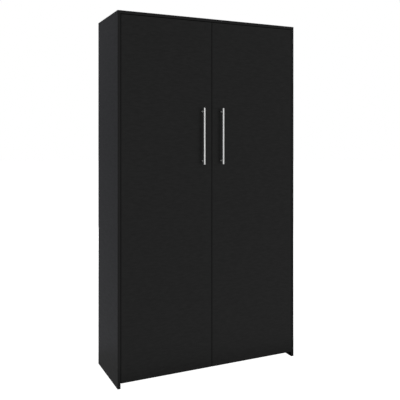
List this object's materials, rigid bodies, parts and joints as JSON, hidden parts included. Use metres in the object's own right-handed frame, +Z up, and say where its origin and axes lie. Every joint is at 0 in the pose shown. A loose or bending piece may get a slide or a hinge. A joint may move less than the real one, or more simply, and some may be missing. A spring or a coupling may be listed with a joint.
{
  "type": "shoe cabinet",
  "caption": "Tall black shoe cabinet: a board case on its side panels with inner shelves, two inset hinged doors and a long bar handle on each door.",
  "frame": {"origin": "on the floor, under the centre of the whole cabinet's box, handles included", "axes": "+Z up, -Y out of the doors, +X to the right for someone who faces the doors"},
  "size_m": [1.018, 0.39, 1.84],
  "materials": {
    "black_board": "matt black melamine laminate on particleboard, with a faint horizontal grain",
    "back_sheet": "raw brown hardboard behind, black print on the inner face",
    "joint_strip": "matt black extruded plastic",
    "handle_steel": "satin brushed steel",
    "plated_steel": "bright nickel-plated pressed steel",
    "buffer_rubber": "soft dark rubber"
  },
  "bodies": {
    "carcass": {"side_panel_left": "black_board", "side_panel_right": "black_board", "top_panel": "black_board", "bottom_panel": "black_board", "centre_partition": "black_board", "shelf_left_1": "black_board", "shelf_left_2": "black_board", "shelf_left_3": "black_board", "shelf_left_4": "black_board", "shelf_left_5": "black_board", "shelf_left_6": "black_board", "shelf_right_1": "black_board", "shelf_right_2": "black_board", "shelf_right_3": "black_board", "shelf_right_4": "black_board", "shelf_right_5": "black_board", "shelf_right_6": "black_board", "back_sheet_left": "back_sheet", "back_sheet_right": "back_sheet", "back_joint_strip": "joint_strip", "hinge_left_top_arm": "plated_steel", "hinge_left_top_plate": "plated_steel", "hinge_left_middle_arm": "plated_steel", "hinge_left_middle_plate": "plated_steel", "hinge_left_bottom_arm": "plated_steel", "hinge_left_bottom_plate": "plated_steel", "hinge_right_top_arm": "plated_steel", "hinge_right_top_plate": "plated_steel", "hinge_right_middle_arm": "plated_steel", "hinge_right_middle_plate": "plated_steel", "hinge_right_bottom_arm": "plated_steel", "hinge_right_bottom_plate": "plated_steel", "door_buffer_left_upper": "buffer_rubber", "door_buffer_left_lower": "buffer_rubber", "door_buffer_right_upper": "buffer_rubber", "door_buffer_right_lower": "buffer_rubber"},
    "door_left": {"door_left": "black_board", "handle_left_bar": "handle_steel", "handle_left_post_upper": "handle_steel", "handle_left_post_lower": "handle_steel", "handle_screw_left_upper": "plated_steel", "handle_screw_left_lower": "plated_steel", "hinge_left_top_cup": "plated_steel", "hinge_left_top_pin": "plated_steel", "hinge_left_middle_cup": "plated_steel", "hinge_left_middle_pin": "plated_steel", "hinge_left_bottom_cup": "plated_steel", "hinge_left_bottom_pin": "plated_steel"},
    "door_right": {"door_right": "black_board", "handle_right_bar": "handle_steel", "handle_right_post_upper": "handle_steel", "handle_right_post_lower": "handle_steel", "handle_screw_right_upper": "plated_steel", "handle_screw_right_lower": "plated_steel", "hinge_right_top_cup": "plated_steel", "hinge_right_top_pin": "plated_steel", "hinge_right_middle_cup": "plated_steel", "hinge_right_middle_pin": "plated_steel", "hinge_right_bottom_cup": "plated_steel", "hinge_right_bottom_pin": "plated_steel"}
  },
  "joints": [
    {"name": "door_left_hinge", "type": "hinge", "parent": "carcass", "child": "door_left", "pos_m": [-0.478, -0.1577, 0.924], "axis": [0, 0, -1], "range_deg": [0, 95]},
    {"name": "door_right_hinge", "type": "hinge", "parent": "carcass", "child": "door_right", "pos_m": [0.478, -0.1577, 0.924], "axis": [0, 0, 1], "range_deg": [0, 95]}
  ]
}
